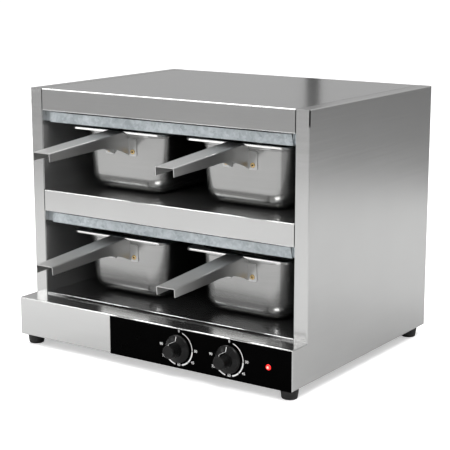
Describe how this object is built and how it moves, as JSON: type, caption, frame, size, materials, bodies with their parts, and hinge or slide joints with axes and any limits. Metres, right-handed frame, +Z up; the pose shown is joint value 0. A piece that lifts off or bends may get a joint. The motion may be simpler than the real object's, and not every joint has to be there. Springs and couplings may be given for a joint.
{
  "type": "heated holding bin",
  "caption": "Countertop heated holding cabinet with two open tiers, slide-out food pans with sheet handles, and a base with thermostat knobs.",
  "frame": {"origin": "on the table under the middle of the whole object, from the tips of the pan handles to the cable gland on the back", "axes": "+X to the right as the operator sees it, +Y to the back, +Z up"},
  "size_m": [0.484, 0.5034, 0.387],
  "materials": {
    "case_steel": "brushed stainless sheet with fine straight grain",
    "inner_steel": "polished stainless sheet",
    "galvanised_steel": "hot-dip galvanised sheet with spangle",
    "pan_steel": "satin deep-drawn stainless",
    "handle_steel": "brushed stainless sheet",
    "rivet_brass": "bright brass",
    "gloss_black": "gloss black overlay with a printed dial scale",
    "knob_plastic": "moulded black plastic",
    "black_plastic": "moulded black plastic",
    "foot_rubber": "moulded black rubber",
    "lamp_red": "translucent red, lit from behind",
    "screw_steel": "bright zinc-plated steel",
    "element_steel": "heat-darkened tube",
    "mineral_wool": "mineral wool",
    "thermostat_body": "moulded thermostat housing",
    "block_plastic": "white terminal block"
  },
  "bodies": {
    "cabinet": {"left_side_panel": "case_steel", "right_side_panel": "case_steel", "left_inner_wall": "inner_steel", "right_inner_wall": "inner_steel", "top_cover": "case_steel", "back_panel": "case_steel", "base_plate": "galvanised_steel", "base_front_panel": "case_steel", "control_overlay": "gloss_black", "left_base_rail": "galvanised_steel", "right_base_rail": "galvanised_steel", "lower_shelf": "inner_steel", "upper_shelf": "case_steel", "left_shelf_angle": "galvanised_steel", "right_shelf_angle": "galvanised_steel", "upper_heater_channel": "galvanised_steel", "lower_heater_channel": "galvanised_steel", "upper_heating_element": "element_steel", "lower_heating_element": "element_steel", "upper_element_clips": "galvanised_steel", "lower_element_clips": "galvanised_steel", "insulation_blanket": "mineral_wool", "left_thermostat": "thermostat_body", "right_thermostat": "thermostat_body", "bushing_nuts": "screw_steel", "pilot_lamp_lens": "lamp_red", "pilot_lamp_body": "black_plastic", "terminal_block": "block_plastic", "cable_gland": "black_plastic", "gland_nut": "black_plastic", "foot_front_left": "foot_rubber", "foot_rear_left": "foot_rubber", "foot_front_right": "foot_rubber", "foot_rear_right": "foot_rubber", "foot_screws": "screw_steel", "back_panel_screws": "screw_steel"},
    "pan_upper_left": {"pan_upper_left": "pan_steel", "handle_upper_left": "handle_steel", "rivets_upper_left": "rivet_brass"},
    "pan_upper_right": {"pan_upper_right": "pan_steel", "handle_upper_right": "handle_steel", "rivets_upper_right": "rivet_brass"},
    "pan_lower_left": {"pan_lower_left": "pan_steel", "handle_lower_left": "handle_steel", "rivets_lower_left": "rivet_brass"},
    "pan_lower_right": {"pan_lower_right": "pan_steel", "handle_lower_right": "handle_steel", "rivets_lower_right": "rivet_brass"},
    "knob_left": {"left_knob": "knob_plastic", "left_shaft": "screw_steel"},
    "knob_right": {"right_knob": "knob_plastic", "right_shaft": "screw_steel"}
  },
  "joints": [
    {"name": "slide_upper_left", "type": "slide", "parent": "cabinet", "child": "pan_upper_left", "axis": [0, -1, 0], "range_m": [0, 0.36]},
    {"name": "slide_upper_right", "type": "slide", "parent": "cabinet", "child": "pan_upper_right", "axis": [0, -1, 0], "range_m": [0, 0.36]},
    {"name": "slide_lower_left", "type": "slide", "parent": "cabinet", "child": "pan_lower_left", "axis": [0, -1, 0], "range_m": [0, 0.36]},
    {"name": "slide_lower_right", "type": "slide", "parent": "cabinet", "child": "pan_lower_right", "axis": [0, -1, 0], "range_m": [0, 0.36]},
    {"name": "turn_left", "type": "hinge", "parent": "cabinet", "child": "knob_left", "pos_m": [0.0562, -0.1573, 0.044], "axis": [0, 1, 0], "range_deg": [0, 285]},
    {"name": "turn_right", "type": "hinge", "parent": "cabinet", "child": "knob_right", "pos_m": [0.141, -0.1573, 0.044], "axis": [0, 1, 0], "range_deg": [0, 285]}
  ]
}
